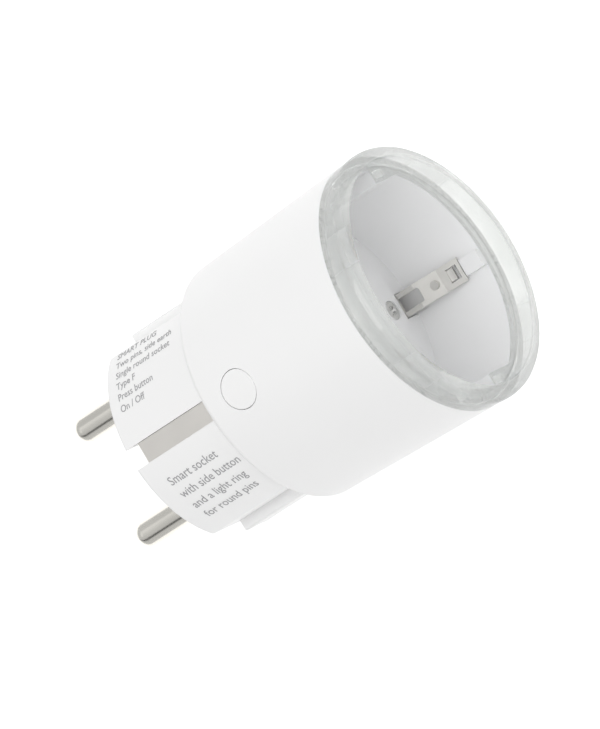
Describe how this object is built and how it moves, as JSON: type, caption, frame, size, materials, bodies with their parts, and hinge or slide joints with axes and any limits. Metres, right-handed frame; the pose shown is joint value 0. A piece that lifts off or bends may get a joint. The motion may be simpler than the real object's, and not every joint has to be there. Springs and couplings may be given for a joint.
{
  "type": "smart plug",
  "caption": "Round plug-in socket adapter with a power button on the side, a clear light ring round an earthed recess, and round pins that enter a wall socket.",
  "frame": {"origin": "centre of the flat face that meets the wall socket, midway between the two pins", "axes": "+Y along the pins into the wall, so the recess for the next plug opens towards -Y; X along the line of the two pins; +Z towards the power button"},
  "size_m": [0.044, 0.0748, 0.044],
  "materials": {
    "white_shell": "satin moulded white",
    "white_button": "satin moulded white",
    "white_insert": "satin moulded white",
    "clear_ring": "clear polished plastic",
    "nickel_pin": "nickel plated and polished",
    "nickel_strip": "nickel plated sheet",
    "brass": "stamped sheet",
    "green_board": "solder mask",
    "dark_case": "moulded black",
    "winding": "ferrite core with a taped copper winding",
    "capacitor_sleeve": "shrink sleeve",
    "yellow_case": "potted box",
    "blue_lacquer": "dipped lacquer",
    "steel_can": "tinned can",
    "led_lens": "clear resin over phosphor",
    "print_ink": "pad printed, grey",
    "screw_steel": "zinc plated"
  },
  "bodies": {
    "housing": {"outer_shell": "white_shell", "plug_base": "white_shell", "socket_insert": "white_insert", "light_ring": "clear_ring", "line_pin": "nickel_pin", "neutral_pin": "nickel_pin", "plug_earth_bracket": "nickel_strip", "socket_earth_bracket": "nickel_strip", "earth_strap": "nickel_strip", "line_pin_strap": "brass", "neutral_pin_strap": "brass", "line_socket_contact": "brass", "neutral_socket_contact": "brass", "main_board": "green_board", "control_board": "green_board", "radio_board": "green_board", "line_side_led_board": "green_board", "neutral_side_led_board": "green_board", "relay": "dark_case", "bridge_rectifier": "dark_case", "power_chip": "dark_case", "shunt_resistor": "brass", "transformer": "winding", "bulk_capacitors": "capacitor_sleeve", "film_capacitor": "yellow_case", "varistor": "blue_lacquer", "fuse_resistor": "blue_lacquer", "radio_shield": "steel_can", "switch_body": "dark_case", "status_leds": "led_lens", "insert_screws": "screw_steel"},
    "button": {"power_button": "white_button"},
    "plunger": {"switch_plunger": "dark_case"}
  },
  "joints": [
    {"name": "button_press", "type": "slide", "parent": "housing", "child": "button", "axis": [0, 0, -1], "range_m": [0, 0.0003], "stiffness_N_per_m": 1500},
    {"name": "plunger_press", "type": "slide", "parent": "housing", "child": "plunger", "axis": [0, 0, -1], "range_m": [0, 0.0003]}
  ],
  "couplings": [
    {"joint": "plunger_press", "follows": "button_press", "ratio": 1}
  ]
}
